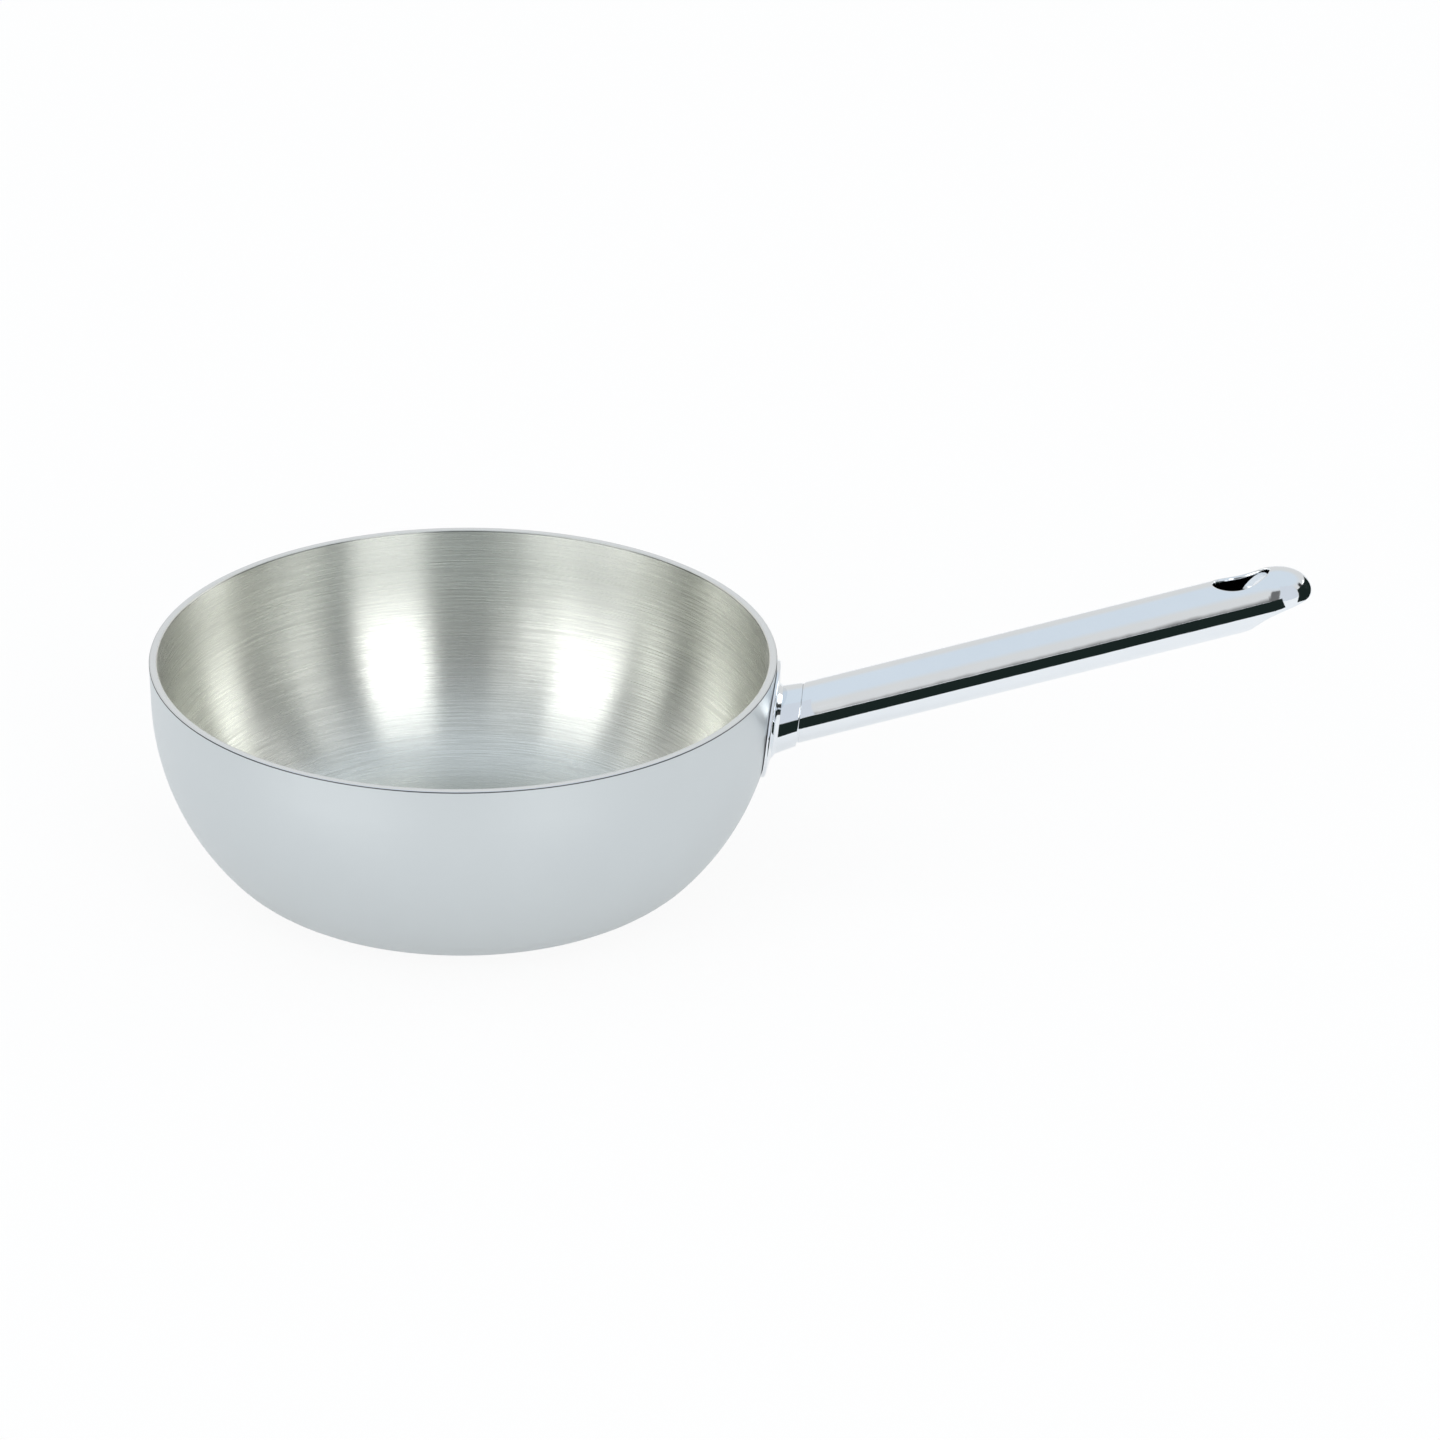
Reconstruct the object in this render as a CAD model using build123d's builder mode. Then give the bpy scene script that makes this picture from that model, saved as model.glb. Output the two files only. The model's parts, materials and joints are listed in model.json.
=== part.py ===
# Saucier pan of seven-ply clad sheet with a welded tube handle, in millimetres, +Z up.
# The origin is the centre of the flat base, and the handle points along +X.
import os
from math import cos, radians, sin, sqrt

from build123d import *

os.makedirs("parts", exist_ok=True)

# Bowl
rim_bore = 240.0
rim_edge_radius = 0.5
wall_taper_angle = 2.2
wall_straight = 16.9
belly_radius = 99.3
belly_end_angle = 48.1
heel_radius = 40.3

# Plies of the clad sheet, from the cooking side out
cooking_skin_thickness = 0.5
inner_bond_thickness = 0.2
core_thickness = 1.65
outer_bond_thickness = 0.2
induction_inner_thickness = 0.25
induction_middle_thickness = 0.25
outer_skin_thickness = 0.25

# Oval plate on the wall
flange_height = 45.5
flange_width = 50.0
flange_thickness = 1.2
flange_gap = 0.3
flange_edge_radius = 0.7
nugget_count = 6
nugget_diameter = 5.0
nugget_ring_share = 0.62

# Handle line
handle_drop = 24.5
handle_rise_angle = 16.2

# Neck
neck_length = 8.9
neck_root_diameter = 25.4
neck_end_diameter = 23.5
neck_edge_radius = 0.5
neck_wall = 2.0
spigot_length = 14.0
spigot_clearance = 0.05
neck_weld_leg = 1.3

# Tube
tube_diameter = 22.6
tube_wall = 1.5
tube_length = 207.9
seam_width = 0.7
seam_recess = 0.3

# Pressed and domed end of the tube
nose_length = 16.0
press_length = 24.7
press_step_shares = (0.0, 0.49, 0.77, 1.0)
press_width_shares = (0.25, 0.60, 0.92, 1.0)
press_rise_shares = (-0.02, 0.73, 0.95, 1.0)
press_overlap = 0.1
fold_drop = 3.2
fold_level_length = 8.0
fold_climb_length = 21.5
fold_edge_radius = 0.7

# Hanging hole
hole_length = 23.0
hole_width = 12.8
hole_setback = 25.4
hole_depth = 8.2
hole_edge_radius = 0.8

# One overrun for every cut
overrun = 1.0


# The wall's outer face: a tapered straight, the belly arc and the heel arc
wall_thickness = (
    cooking_skin_thickness
    + inner_bond_thickness
    + core_thickness
    + outer_bond_thickness
    + induction_inner_thickness
    + induction_middle_thickness
    + outer_skin_thickness
)
taper_sin = sin(radians(wall_taper_angle))
taper_cos = cos(radians(wall_taper_angle))
slope_sin = sin(radians(belly_end_angle))
slope_cos = cos(radians(belly_end_angle))
rim_radius = rim_bore / 2 + wall_thickness / taper_cos
belly_centre_r = rim_radius - wall_straight * taper_sin - belly_radius * taper_cos
belly_centre_z = heel_radius + (belly_radius - heel_radius) * slope_cos
heel_centre_r = belly_centre_r + (belly_radius - heel_radius) * slope_sin
rim_z = belly_centre_z - belly_radius * taper_sin + wall_straight * taper_cos


def wall_line(depth):
    """Draw the wall's section line, this depth inside its outer face, from the rim to the axis."""
    belly = belly_radius - depth
    heel = heel_radius - depth
    straight_end = (belly_centre_r + belly * taper_cos, belly_centre_z - belly * taper_sin)
    Line((rim_radius - depth / taper_cos, rim_z), straight_end)
    belly_turn = 90 - wall_taper_angle - belly_end_angle
    CenterArc((belly_centre_r, belly_centre_z), belly, belly_end_angle - 90, belly_turn)
    CenterArc((heel_centre_r, heel_radius), heel, -90, belly_end_angle)
    Line((heel_centre_r, depth), (0, depth))


def close_wall(outer_depth, inner_depth):
    """Join two wall lines at the rim and on the axis."""
    Line((rim_radius - outer_depth / taper_cos, rim_z), (rim_radius - inner_depth / taper_cos, rim_z))
    Line((0, outer_depth), (0, inner_depth))


# Full section of the wall, with its rim edges rounded, which trims the plies at the rim
with BuildSketch(Plane.XZ) as wall_section:
    with BuildLine():
        wall_line(0)
        wall_line(wall_thickness)
        close_wall(0, wall_thickness)
    make_face()
    fillet(wall_section.vertices().group_by(Axis.Y)[-1], rim_edge_radius)

# The seven plies, from the outside in
plies = {
    "outer_skin": outer_skin_thickness,
    "induction_ply_middle": induction_middle_thickness,
    "induction_ply_inner": induction_inner_thickness,
    "outer_bonding_ply": outer_bond_thickness,
    "aluminium_core": core_thickness,
    "inner_bonding_ply": inner_bond_thickness,
    "cooking_skin": cooking_skin_thickness,
}
ply_depth = 0
for ply_name, ply_thickness in plies.items():
    with BuildPart() as ply:
        with BuildSketch(Plane.XZ):
            with BuildLine():
                wall_line(ply_depth)
                wall_line(ply_depth + ply_thickness)
                close_wall(ply_depth, ply_depth + ply_thickness)
            make_face()
            add(wall_section.sketch, mode=Mode.INTERSECT)
        revolve(axis=Axis.Z)
    ply.part.label = ply_name
    export_step(ply.part, f"parts/{ply_name}.step")
    ply_depth += ply_thickness

# Handle line: it leaves the plate's face at the handle drop and climbs away from the bowl
face_offset = flange_gap + flange_thickness
belly_face = belly_radius + face_offset
root_z = rim_z - handle_drop
root_out = sqrt(belly_face**2 - (belly_centre_z - root_z) ** 2)
root = (belly_centre_r + root_out, 0, root_z)
rise_sin = sin(radians(handle_rise_angle))
rise_cos = cos(radians(handle_rise_angle))
handle_side = Plane(origin=root, x_dir=(rise_cos, 0, rise_sin), z_dir=(0, -1, 0))
handle_plan = Plane(origin=root, x_dir=(rise_cos, 0, rise_sin), z_dir=(-rise_sin, 0, rise_cos))
handle_axis = Axis(origin=root, direction=(rise_cos, 0, rise_sin))


def handle_place(along):
    """Point on the handle line, this far from the plate."""
    return (root[0] + along * rise_cos, 0, root_z + along * rise_sin)


def handle_section(along):
    """Plane square to the handle, this far along it from the plate, with its y upward."""
    return Plane(origin=handle_place(along), x_dir=(0, 1, 0), z_dir=(rise_cos, 0, rise_sin))


def off_axis(edge):
    """Distance of an edge's middle from the handle line."""
    middle = handle_side.to_local_coords(edge @ 0.5)
    return sqrt(middle.Y**2 + middle.Z**2)


# Oval plate, curved with the wall and standing off it by the weld gap
flange_reach = rim_radius + face_offset + overrun
with BuildPart() as mounting_flange:
    with BuildSketch(Plane.XZ):
        with BuildLine():
            wall_line(-flange_gap)
            wall_line(-face_offset)
            close_wall(-flange_gap, -face_offset)
        make_face()
    revolve(axis=Axis.Z)
    with BuildSketch(Plane.YZ):
        with Locations((0, root_z)):
            Ellipse(flange_width / 2, flange_height / 2)
    extrude(amount=flange_reach, mode=Mode.INTERSECT)
    side_edges = mounting_flange.faces().filter_by(lambda face: abs(face.normal_at().X) < 0.01).edges()
    face_edges = mounting_flange.faces().filter_by(lambda face: face.normal_at().X > 0.5).edges()
    fillet([edge for edge in face_edges if edge in side_edges], flange_edge_radius)
mounting_flange.part.label = "mounting_flange"
export_step(mounting_flange.part, "parts/mounting_flange.step")

# Spot-weld nuggets that fill the gap between the plate and the wall, on an oval ring
nugget_places = []
for nugget in range(nugget_count):
    nugget_angle = radians(360 * (nugget + 0.5) / nugget_count)
    nugget_y = nugget_ring_share * flange_width / 2 * cos(nugget_angle)
    nugget_z = root_z + nugget_ring_share * flange_height / 2 * sin(nugget_angle)
    nugget_places.append((nugget_y, nugget_z))

with BuildPart() as flange_weld_nuggets:
    with BuildSketch(Plane.XZ):
        with BuildLine():
            wall_line(0)
            wall_line(-flange_gap)
            close_wall(0, -flange_gap)
        make_face()
    revolve(axis=Axis.Z)
    with BuildSketch(Plane.YZ):
        with Locations(*nugget_places):
            Circle(nugget_diameter / 2)
    extrude(amount=flange_reach, mode=Mode.INTERSECT)
flange_weld_nuggets.part.label = "flange_weld_nuggets"
export_step(flange_weld_nuggets.part, "parts/flange_weld_nuggets.step")

# Solid inside the plate's face, which trims what is welded to that face
with BuildPart() as inside_face:
    with BuildSketch(Plane.XZ):
        with BuildLine():
            wall_line(-face_offset)
            Line((0, -face_offset), (0, rim_z))
            Line((0, rim_z), (rim_radius + face_offset / taper_cos, rim_z))
        make_face()
    revolve(axis=Axis.Z)

# Neck, hollow, with a spigot that goes into the tube
tube_radius = tube_diameter / 2
bore_radius = tube_radius - tube_wall
spigot_radius = bore_radius - spigot_clearance
neck_bore_radius = spigot_radius - neck_wall
neck_root_radius = neck_root_diameter / 2
neck_end_radius = neck_end_diameter / 2
neck_flare = (neck_root_radius - neck_end_radius) / neck_length
neck_sunk = neck_root_radius
neck_trim = neck_end_radius
spigot_end = neck_length + spigot_length


def face_plane(along):
    """Plane parallel to the plate's face at the root, this far along the handle, with its y upward."""
    return Plane(origin=handle_place(along), x_dir=(0, 1, 0), z_dir=(root_out, 0, root_z - belly_centre_z))


# The neck ends on a plane parallel to the plate
seam_plane = face_plane(neck_length)

# Outside of the neck, as a plain cone
with BuildPart() as neck_body:
    with BuildSketch(handle_side):
        with BuildLine():
            Polyline(
                (-neck_sunk, 0),
                (-neck_sunk, neck_root_radius + neck_sunk * neck_flare),
                (neck_length + neck_trim, neck_end_radius - neck_trim * neck_flare),
                (neck_length + neck_trim, 0),
                close=True,
            )
        make_face()
    revolve(axis=handle_axis)

with BuildPart() as handle_neck:
    add(neck_body.part)
    with BuildSketch(seam_plane):
        Circle(tube_diameter)
    extrude(amount=tube_diameter, mode=Mode.SUBTRACT)
    fillet(handle_neck.faces().sort_by(handle_axis)[-1].edges(), neck_edge_radius)
    with BuildSketch(handle_section(0)):
        Circle(spigot_radius)
    extrude(amount=spigot_end)
    with BuildSketch(handle_section(spigot_end)):
        Circle(neck_bore_radius)
    extrude(amount=-spigot_end - neck_sunk, mode=Mode.SUBTRACT)
    add(inside_face.part, mode=Mode.SUBTRACT)
handle_neck.part.label = "handle_neck"
export_step(handle_neck.part, "parts/handle_neck.step")

# Weld round the root of the neck: a flat fillet, drawn as a cone that leans with the handle line
face_sin = (rise_sin * root_out - rise_cos * (root_z - belly_centre_z)) / belly_face
face_cos = (rise_cos * root_out + rise_sin * (root_z - belly_centre_z)) / belly_face
root_sag = neck_root_radius**2 / (2 * belly_face)


def root_outline(height, growth):
    """Outline of the neck at this height over the plate's face round the root, grown outward."""
    along = (height - root_sag) / face_cos
    radius = neck_root_radius - along * neck_flare
    upper = radius / (face_cos + neck_flare * face_sin)
    lower = radius / (face_cos - neck_flare * face_sin)
    with BuildSketch(face_plane(along)) as outline:
        with Locations((0, (upper - lower) / 2)):
            Ellipse(radius + growth, (upper + lower) / 2 + growth)
    return outline.sketch


with BuildPart() as neck_weld:
    add(root_outline(-neck_weld_leg, 2 * neck_weld_leg))
    add(root_outline(2 * neck_weld_leg, -neck_weld_leg))
    loft()
    add(neck_body.part, mode=Mode.SUBTRACT)
    add(inside_face.part, mode=Mode.SUBTRACT)
neck_weld.part.label = "neck_weld"
export_step(neck_weld.part, "parts/neck_weld.step")

# Seam weld, a fine recessed ring between the neck's shoulder and the tube
with BuildPart() as tube_seam_weld:
    with BuildSketch(handle_section(0)):
        Circle(tube_radius - seam_recess)
        Circle(spigot_radius, mode=Mode.SUBTRACT)
    extrude(amount=spigot_end)
    with BuildSketch(seam_plane):
        Circle(tube_diameter)
    extrude(amount=seam_width, mode=Mode.INTERSECT)
tube_seam_weld.part.label = "tube_seam_weld"
export_step(tube_seam_weld.part, "parts/tube_seam_weld.step")

# Tube end: the lower wall is pressed up against the upper one, under a domed nose
tube_tip = neck_length + tube_length
nose_root = tube_tip - nose_length
gutter_radius = tube_radius - 2 * tube_wall
gutter_nose = nose_length - 2 * tube_wall


def press_die(allowance):
    """Return the shape that the pressed wall is formed on, grown by an allowance."""
    press_rise = tube_radius + gutter_radius
    with BuildPart() as die:
        for step, width, rise in zip(press_step_shares, press_width_shares, press_rise_shares):
            along = nose_root - (press_length + allowance) * (1 - step)
            half_width = gutter_radius * width + allowance
            crown = press_rise * rise - tube_radius + allowance
            with BuildSketch(handle_section(along)):
                with BuildLine():
                    CenterArc((0, crown - half_width), half_width, 0, 180)
                    Polyline(
                        (-half_width, crown - half_width),
                        (-half_width, -2 * tube_diameter),
                        (half_width, -2 * tube_diameter),
                        (half_width, crown - half_width),
                    )
                make_face()
        loft()
    return die.part


def height_of(edge):
    """Highest point of an edge over the handle line, square to it."""
    return handle_plan.to_local_coords(edge).bounding_box().max.Z


# Hollow of the tube, which closes where the pressed wall meets the upper wall
with BuildPart() as tube_hollow:
    with BuildSketch(handle_section(0)):
        Circle(bore_radius)
    extrude(amount=nose_root)
    add(press_die(tube_wall + press_overlap), mode=Mode.SUBTRACT)

with BuildPart() as handle_tube:
    with BuildSketch(handle_plan):
        with BuildLine():
            Polyline((nose_root, tube_radius), (0, tube_radius), (0, 0), (tube_tip, 0))
            EllipticalCenterArc((nose_root, 0), nose_length, tube_radius, start_angle=0, arc_size=90)
        make_face()
    revolve(axis=handle_axis)
    with BuildSketch(seam_plane.offset(seam_width)):
        Circle(tube_diameter)
    extrude(amount=-tube_diameter, mode=Mode.SUBTRACT)

    # The groove under the end, which runs into a hollow dome under the nose
    add(press_die(0), mode=Mode.SUBTRACT)
    with BuildSketch(handle_plan):
        with BuildLine():
            Polyline((nose_root, gutter_radius), (nose_root, 0), (nose_root + gutter_nose, 0))
            EllipticalCenterArc((nose_root, 0), gutter_nose, gutter_radius, start_angle=0, arc_size=90)
        make_face()
    revolve(axis=handle_axis, mode=Mode.SUBTRACT)
    with BuildSketch(handle_plan):
        with Locations((nose_root, 0)):
            Ellipse(gutter_nose, gutter_radius)
    extrude(amount=-tube_diameter, mode=Mode.SUBTRACT)

    # The folded edge, which climbs from the tube's underside to a level run at the nose
    with BuildSketch(handle_side):
        with BuildLine():
            fold_end = (tube_tip - fold_level_length, -fold_drop)
            fold_start = (tube_tip - fold_level_length - fold_climb_length, -tube_radius)
            TangentArc(fold_end, fold_start, tangent=(-1, 0))
            Polyline(
                fold_start,
                (fold_start[0], -tube_diameter),
                (tube_tip + overrun, -tube_diameter),
                (tube_tip + overrun, -fold_drop),
                fold_end,
            )
        make_face()
    extrude(amount=tube_radius + overrun, both=True, mode=Mode.SUBTRACT)
    fold_edges = [edge for edge in handle_tube.edges() if height_of(edge) < -fold_drop / 2]
    fillet(fold_edges, fold_edge_radius)
    add(tube_hollow.part, mode=Mode.SUBTRACT)

    # The oval hanging hole, through the upper wall and the wall pressed against it
    with BuildSketch(handle_plan.offset(tube_radius - hole_depth)):
        with Locations((tube_tip - hole_setback, 0)):
            Ellipse(hole_length / 2, hole_width / 2)
    extrude(amount=hole_depth + overrun, mode=Mode.SUBTRACT)
    cut_edges = handle_tube.edges(Select.LAST).filter_by(GeomType.BSPLINE)
    fillet([edge for edge in cut_edges if off_axis(edge) > bore_radius + tube_wall / 2], hole_edge_radius)
handle_tube.part.label = "handle_tube"
export_step(handle_tube.part, "parts/handle_tube.step")
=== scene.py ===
# Saucier pan on a plain white floor in soft studio light, in metres, +Z up.
import json
from math import cos, degrees, radians, sin

import bpy
from mathutils import Matrix, Vector

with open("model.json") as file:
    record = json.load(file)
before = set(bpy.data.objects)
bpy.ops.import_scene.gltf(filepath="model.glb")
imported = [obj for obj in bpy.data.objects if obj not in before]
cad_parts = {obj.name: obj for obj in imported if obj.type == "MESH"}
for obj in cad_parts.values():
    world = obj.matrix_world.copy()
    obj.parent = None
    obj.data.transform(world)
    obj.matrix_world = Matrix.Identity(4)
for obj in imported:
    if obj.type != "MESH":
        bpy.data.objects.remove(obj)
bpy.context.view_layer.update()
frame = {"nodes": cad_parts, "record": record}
nodes = frame["nodes"]
scene = bpy.context.scene
scene.view_settings.view_transform = "Standard"

white = (1.0, 1.0, 1.0, 1.0)
quarter_turn = 0.25

# Heights over which the painted dark reflection at the rim's rounded edge fades in and out
painted_rim_reflection_start = (0.09215, 0.09235)
painted_rim_reflection_end = (0.09258, 0.09270)
painted_rim_reflection_color = (0.03, 0.03, 0.035, 1.0)

# The handle's middle line, which the cards follow
handle_rise = radians(16.2)
handle_root = Vector((0.12358, 0, 0.06828))
handle_length = 0.2168

# Camera
camera_azimuth = 1.9
camera_elevation = 25.19
camera_distance = 6.0
camera_lens = 382.35
camera_sensor = 36
camera_target = Vector((0.101048, -0.007106, 0.070555))

turn = radians(camera_azimuth)
tilt = radians(camera_elevation)
back = Vector((sin(turn) * cos(tilt), -cos(turn) * cos(tilt), sin(tilt)))
right = Vector((cos(turn), sin(turn), 0))
up = back.cross(right)
camera_data = bpy.data.cameras.new("camera")
camera_data.lens = camera_lens
camera_data.sensor_width = camera_sensor
camera = bpy.data.objects.new("camera", camera_data)
axes = Matrix((right, up, back)).transposed().to_4x4()
camera.matrix_world = Matrix.Translation(camera_target + back * camera_distance) @ axes
scene.collection.objects.link(camera)
scene.camera = camera


# Node helpers
def new_tree(name):
    """Make a material and return it with its emptied node tree."""
    material = bpy.data.materials.new(name)
    material.use_nodes = True
    material.node_tree.nodes.clear()
    return material, material.node_tree


def link(tree, source, target):
    """Join two sockets."""
    tree.links.new(source, target)


def feed(tree, socket, value):
    """Give a socket a number, a colour or another socket."""
    if isinstance(value, bpy.types.NodeSocket):
        tree.links.new(value, socket)
    else:
        socket.default_value = value


def maths(tree, operation, first, second=0.0):
    """Math node on sockets or numbers."""
    node = tree.nodes.new("ShaderNodeMath")
    node.operation = operation
    for socket, value in zip(node.inputs, (first, second)):
        feed(tree, socket, value)
    return node.outputs[0]


def times(tree, first, second):
    """Product of two sockets or numbers."""
    return maths(tree, "MULTIPLY", first, second)


def plus(tree, first, second):
    """Sum of two sockets or numbers."""
    return maths(tree, "ADD", first, second)


def spread(tree, value, low, high, to_low, to_high):
    """Map Range node, clamped."""
    node = tree.nodes.new("ShaderNodeMapRange")
    for socket, item in zip(node.inputs, (value, low, high, to_low, to_high)):
        feed(tree, socket, item)
    return node.outputs[0]


def place(tree):
    """Object coordinates, in metres."""
    return tree.nodes.new("ShaderNodeTexCoord").outputs["Object"]


def split(tree, vector):
    """The three parts of a vector."""
    node = tree.nodes.new("ShaderNodeSeparateXYZ")
    feed(tree, node.inputs[0], vector)
    return node.outputs


def join(tree, x, y, z):
    """A vector from three parts."""
    node = tree.nodes.new("ShaderNodeCombineXYZ")
    for socket, value in zip(node.inputs, (x, y, z)):
        feed(tree, socket, value)
    return node.outputs[0]


def noise(tree, vector, scale, detail=3.0, roughness=0.5):
    """Noise texture, as one grey value."""
    node = tree.nodes.new("ShaderNodeTexNoise")
    feed(tree, node.inputs["Vector"], vector)
    node.inputs["Scale"].default_value = scale
    node.inputs["Detail"].default_value = detail
    node.inputs["Roughness"].default_value = roughness
    return node.outputs[0]


def blend(tree, factor, first, second):
    """Mix two colours."""
    node = tree.nodes.new("ShaderNodeMix")
    node.data_type = "RGBA"
    feed(tree, node.inputs[0], factor)
    feed(tree, node.inputs[6], first)
    feed(tree, node.inputs[7], second)
    return node.outputs[2]


def bump(tree, height, distance, strength):
    """Bump node from a height value."""
    node = tree.nodes.new("ShaderNodeBump")
    node.inputs["Strength"].default_value = strength
    node.inputs["Distance"].default_value = distance
    feed(tree, node.inputs["Height"], height)
    return node.outputs[0]


def finish_tree(tree, surface, kind="Material"):
    """Join a shader to the tree's output."""
    output = tree.nodes.new(f"ShaderNodeOutput{kind}")
    link(tree, surface, output.inputs["Surface"])


def metal(tree, color, roughness, normal, anisotropy=0.0):
    """Metallic surface. Where it is anisotropic, its highlights spread across the grain round the bowl."""
    shader = tree.nodes.new("ShaderNodeBsdfPrincipled")
    shader.inputs["Metallic"].default_value = 1.0
    feed(tree, shader.inputs["Base Color"], color)
    feed(tree, shader.inputs["Roughness"], roughness)
    shader.inputs["Anisotropic"].default_value = anisotropy
    link(tree, normal, shader.inputs["Normal"])
    if anisotropy:
        shader.inputs["Anisotropic Rotation"].default_value = quarter_turn
        link(tree, round_tangent(tree), shader.inputs["Tangent"])
    finish_tree(tree, shader.outputs[0])


def round_axis(tree):
    """Distance from the bowl's axis, angle round it and height."""
    x, y, z = split(tree, place(tree))
    radius = maths(tree, "SQRT", plus(tree, times(tree, x, x), times(tree, y, y)))
    return radius, maths(tree, "ARCTAN2", y, x), z


def round_tangent(tree):
    """Tangent that runs round the bowl's axis."""
    node = tree.nodes.new("ShaderNodeTangent")
    node.direction_type = "RADIAL"
    node.axis = "Z"
    return node.outputs[0]


def paint_rim_reflection(tree, color, depth):
    """Paint a dark reflection into a colour, in the thin line where the rim's edge is rounded."""
    height = split(tree, place(tree))[2]
    start = spread(tree, height, *painted_rim_reflection_start, 0.0, 1.0)
    end = spread(tree, height, *painted_rim_reflection_end, 1.0, 0.0)
    # Painted dark reflection: a thin band of dark colour at the rim's height
    painted_reflection = times(tree, times(tree, start, end), depth)
    return blend(tree, painted_reflection, color, painted_rim_reflection_color)


def ring_grain(tree, across, along):
    """Grain that runs round the bowl: fine across it, long along it."""
    radius, angle, height = round_axis(tree)
    lines = join(tree, times(tree, radius, across), times(tree, angle, along), times(tree, height, across))
    return noise(tree, lines, 1.0, 4.0, 0.6)


# Materials
def satin_steel():
    """Outside of the bowl: fine even satin."""
    material, tree = new_tree("satin_steel_looks")
    grain = ring_grain(tree, 9000.0, 14.0)
    cloud = noise(tree, place(tree), 22.0, 4.0, 0.55)
    color = blend(tree, cloud, (0.63, 0.665, 0.68, 1.0), (0.655, 0.69, 0.70, 1.0))
    rough = spread(tree, plus(tree, times(tree, grain, 0.6), cloud), 0.3, 1.3, 0.36, 0.44)
    # The colour carries a painted dark reflection in a thin line at the rim
    metal(tree, paint_rim_reflection(tree, color, 0.95), rough, bump(tree, grain, 0.00002, 0.5), anisotropy=0.3)
    return material


def brushed_steel():
    """Inside of the bowl: brushed round the axis."""
    material, tree = new_tree("brushed_steel_looks")
    fine = ring_grain(tree, 7000.0, 5.0)
    coarse = ring_grain(tree, 1600.0, 2.0)
    grain = plus(tree, times(tree, fine, 0.65), times(tree, coarse, 0.35))
    streak = spread(tree, grain, 0.3, 0.7, 0.0, 1.0)
    color = blend(tree, streak, (0.58, 0.59, 0.555, 1.0), (0.90, 0.91, 0.87, 1.0))
    rough = spread(tree, grain, 0.32, 0.68, 0.33, 0.23)
    # The colour carries a painted dark reflection in a thin line at the rim
    metal(tree, paint_rim_reflection(tree, color, 0.6), rough, bump(tree, grain, 0.00003, 0.6), anisotropy=1.0)
    return material


def ground_edge(name, color):
    """Ply edge that is ground smooth at the rim."""
    material, tree = new_tree(name)
    grain = ring_grain(tree, 4000.0, 6.0)
    lighter = tuple(min(1.0, part * 1.08) for part in color[:3]) + (1.0,)
    tone = blend(tree, grain, color, lighter)
    rough = spread(tree, grain, 0.2, 0.8, 0.14, 0.24)
    metal(tree, tone, rough, bump(tree, grain, 0.00001, 0.4), anisotropy=0.2)
    return material


def polished_steel():
    """Mirror polish, with a slight hand-polished wave and faint rubbing marks."""
    material, tree = new_tree("polished_steel_looks")
    where = place(tree)
    smear = noise(tree, where, 60.0, 5.0, 0.6)
    x, y, z = split(tree, where)
    stretched = join(tree, times(tree, x, 400.0), times(tree, y, 6000.0), times(tree, z, 6000.0))
    rubbed = noise(tree, stretched, 1.0, 3.0, 0.6)
    color = blend(tree, smear, (0.83, 0.865, 0.90, 1.0), (0.88, 0.905, 0.93, 1.0))
    marks = plus(tree, times(tree, smear, 0.6), times(tree, rubbed, 0.4))
    rough = spread(tree, marks, 0.35, 0.75, 0.03, 0.09)
    wavy = noise(tree, where, 55.0, 2.0, 0.5)
    height = plus(tree, wavy, times(tree, rubbed, 0.004))
    metal(tree, color, rough, bump(tree, height, 0.00015, 1.0))
    return material


looks = {
    "satin_steel": satin_steel(),
    "brushed_steel": brushed_steel(),
    "ply_steel": ground_edge("ply_steel_looks", (0.76, 0.79, 0.81, 1.0)),
    "core_aluminium": ground_edge("core_aluminium_looks", (0.80, 0.83, 0.85, 1.0)),
    "polished_steel": polished_steel(),
}
slots = {item["node"]: item["material_slot"] for item in frame["record"]["subparts"]}
for name, node in nodes.items():
    node.data.materials.clear()
    node.data.materials.append(looks[slots[name]])


# Stage
def flat_card(name, corners, material, shown=True):
    """A flat four-cornered stage piece. One that isn't shown is seen in reflections only."""
    mesh = bpy.data.meshes.new(name)
    mesh.from_pydata(corners, [], [(0, 1, 2, 3)])
    card = bpy.data.objects.new(name, mesh)
    mesh.materials.append(material)
    scene.collection.objects.link(card)
    if not shown:
        card.visible_camera = False
        card.visible_diffuse = False
        card.visible_shadow = False
        card.visible_transmission = False


def floor_material():
    """White floor that keeps a light shadow."""
    material, tree = new_tree("floor_looks")
    diffuse = tree.nodes.new("ShaderNodeBsdfDiffuse")
    grain = noise(tree, place(tree), 8.0, 3.0)
    feed(tree, diffuse.inputs["Color"], blend(tree, grain, (0.90, 0.90, 0.90, 1.0), (0.92, 0.92, 0.92, 1.0)))
    glow = tree.nodes.new("ShaderNodeEmission")
    glow.inputs["Color"].default_value = white
    path = tree.nodes.new("ShaderNodeLightPath")
    mixer = tree.nodes.new("ShaderNodeMixShader")
    clear = times(tree, path.outputs["Is Camera Ray"], 0.9)
    mirrored = times(tree, path.outputs["Is Glossy Ray"], 0.4)
    feed(tree, mixer.inputs[0], plus(tree, clear, mirrored))
    link(tree, diffuse.outputs[0], mixer.inputs[1])
    link(tree, glow.outputs[0], mixer.inputs[2])
    finish_tree(tree, mixer.outputs[0])
    return material


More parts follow.
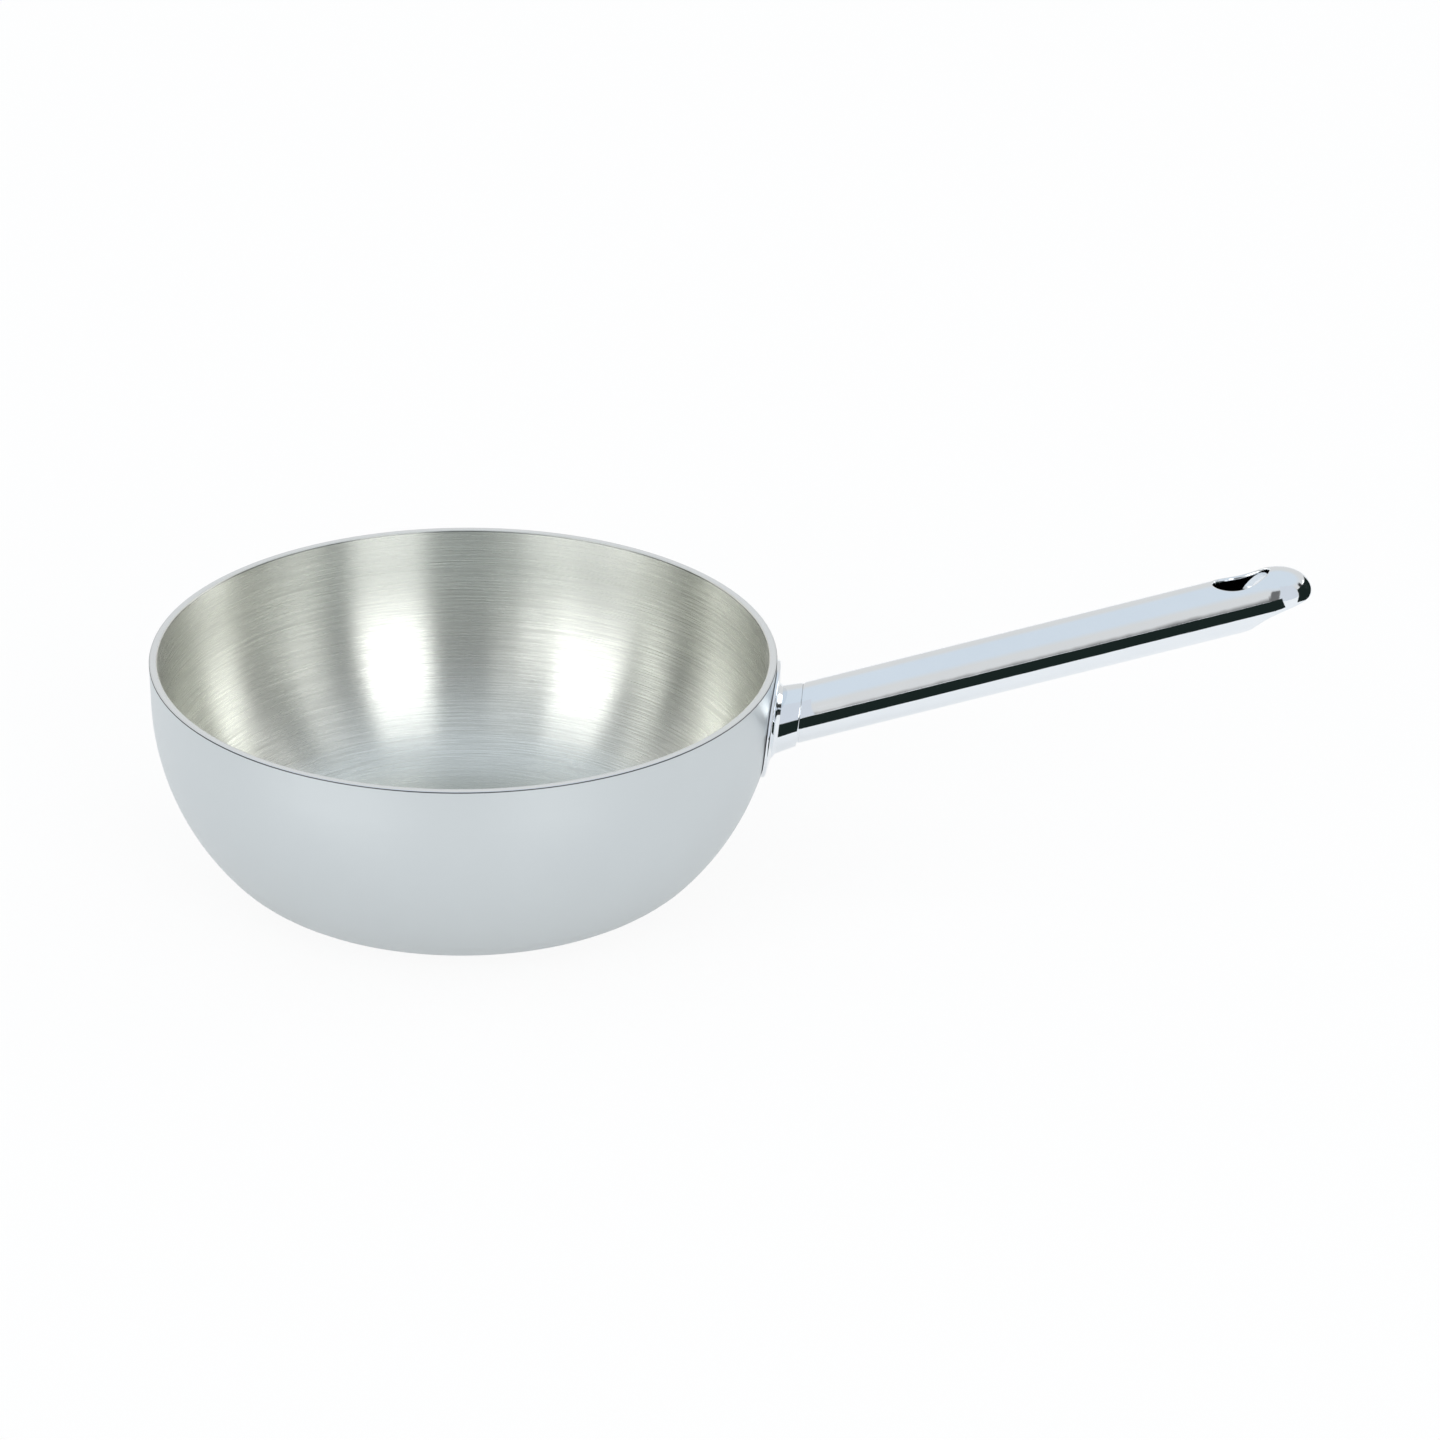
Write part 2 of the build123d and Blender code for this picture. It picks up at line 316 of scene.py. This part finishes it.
def glow_material(name, color):
    """Surface of one even colour on its front and clear from behind."""
    material, tree = new_tree(name)
    glow = tree.nodes.new("ShaderNodeEmission")
    glow.inputs["Color"].default_value = color
    mixer = tree.nodes.new("ShaderNodeMixShader")
    link(tree, tree.nodes.new("ShaderNodeNewGeometry").outputs["Backfacing"], mixer.inputs[0])
    link(tree, glow.outputs[0], mixer.inputs[1])
    link(tree, tree.nodes.new("ShaderNodeBsdfTransparent").outputs[0], mixer.inputs[2])
    finish_tree(tree, mixer.outputs[0])
    return material


floor_reach = 8
turns = ((-1, -1), (1, -1), (1, 1), (-1, 1))
flat_card("floor", [(floor_reach * x, floor_reach * y, 0) for x, y in turns], floor_material())

# Cards beside the handle: a dark one that makes its dark stripe and a pale one in front of the neck
dark = glow_material("dark_card_looks", (0.012, 0.02, 0.018, 1.0))
pale = glow_material("pale_card_looks", (0.70, 0.74, 0.80, 1.0))
card_reach = 0.034
along = Vector((cos(handle_rise), 0, sin(handle_rise)))
above = Vector((-sin(handle_rise), 0, cos(handle_rise)))


def beside_handle(distance, roll):
    """Point beside the handle line, at that distance along it and that roll below the camera's side."""
    roll = radians(roll)
    return handle_root + along * distance + (Vector((0, -cos(roll), 0)) - above * sin(roll)) * card_reach


def handle_card(name, material, start, end, top, bottom):
    """Card along part of the handle, between two rolls, that faces the handle."""
    places = ((start, top), (end, top), (end, bottom), (start, bottom))
    corners = [beside_handle(distance, roll) for distance, roll in places]
    flat_card(name, corners, material, shown=False)


handle_card("dark_card", dark, -0.003, 0.214, -4, 33)
handle_card("pale_neck_card", pale, -0.003, 0.013, -60, -5)

# Cards round the handle's tip: a dark one beyond it and a pale one in front of it
tip = handle_root + along * handle_length


def end_card(name, material, start, end, top, bottom):
    """Upright card between two places seen from above, relative to the handle's tip, that faces the tip."""
    corners = [(*start, top), (*end, top), (*end, bottom), (*start, bottom)]
    flat_card(name, [tip + Vector(corner) for corner in corners], material, shown=False)


end_card("dark_end_card", dark, (0.03, -0.026), (0.03, 0.055), 0.019, -0.022)
end_card("pale_end_card", pale, (-0.002, -0.05), (0.045, -0.036), 0.06, -0.006)

# World: white to camera and transmission rays. All other rays see pale blue above, and grey lower down with
# bright and dark panels in it
world = bpy.data.worlds.new("studio")
scene.world = world
world.use_nodes = True
tree = world.node_tree
tree.nodes.clear()
direction = tree.nodes.new("ShaderNodeTexCoord").outputs["Generated"]
x, y, z = split(tree, direction)
bearing = times(tree, maths(tree, "ARCTAN2", x, times(tree, y, -1.0)), degrees(1))
rise = times(tree, maths(tree, "ARCSINE", z), degrees(1))
bearing_softness = 2.5
rise_softness = 4.0


def window(value, start, end, soft):
    """1 between two angles, with soft edges."""
    low = spread(tree, value, start - soft, start + soft, 0.0, 1.0)
    high = spread(tree, value, end - soft, end + soft, 1.0, 0.0)
    return times(tree, low, high)


def paint(under, level, bearings, rises):
    """Lay one evenly lit or dark panel over the level below it."""
    mask = times(tree, window(bearing, *bearings, bearing_softness), window(rise, *rises, rise_softness))
    change = times(tree, maths(tree, "SUBTRACT", level, under), mask)
    return plus(tree, under, change)


# Level, bearings and rises of each panel, in degrees: a dark gap in front with bright panels each side of it,
# then dark and bright ones further round
panels = (
    (0.17, (-9, 14), (-12, 40)),
    (3.3, (-64, -19), (-4, 20)),
    (3.3, (-64, -36), (-8, 37)),
    (3.5, (17.5, 45), (2, 40)),
    (0.30, (47, 60), (-30, 40)),
    (0.05, (79, 95), (-30, 40)),
    (3.4, (101, 124), (-30, 25)),
    (1.6, (-128, -101), (-30, 25)),
    (0.45, (-82, -70), (-30, 35)),
    (0.02, (-97, -84), (-30, 30)),
)
level = 0.76
for panel in panels:
    level = paint(level, *panel)
front = join(tree, level, level, times(tree, level, 0.99))
sky = blend(tree, spread(tree, rise, 36.0, 52.0, 0.0, 1.0), front, (0.72, 0.79, 0.86, 1.0))
path = tree.nodes.new("ShaderNodeLightPath")
clear_ray = maths(tree, "MAXIMUM", path.outputs["Is Camera Ray"], path.outputs["Is Transmission Ray"])
background = tree.nodes.new("ShaderNodeBackground")
feed(tree, background.inputs["Color"], blend(tree, clear_ray, sky, white))
finish_tree(tree, background.outputs[0], "World")

# One soft lamp over the pan, for its shadow on the floor, that no reflection shows
lamp_rise = radians(82)
lamp_distance = 2.2
lamp_target = Vector((0.05, 0, 0.05))
lamp_data = bpy.data.lights.new("lamp_over", "AREA")
lamp_data.shape = "RECTANGLE"
lamp_data.size = 2.0
lamp_data.size_y = 2.0
lamp_data.energy = 6
lamp = bpy.data.objects.new("lamp_over", lamp_data)
side = Vector((0, -cos(lamp_rise), sin(lamp_rise)))
lamp.location = lamp_target + side * lamp_distance
lamp.rotation_euler = side.to_track_quat("Z", "Y").to_euler()
lamp.visible_glossy = False
scene.collection.objects.link(lamp)
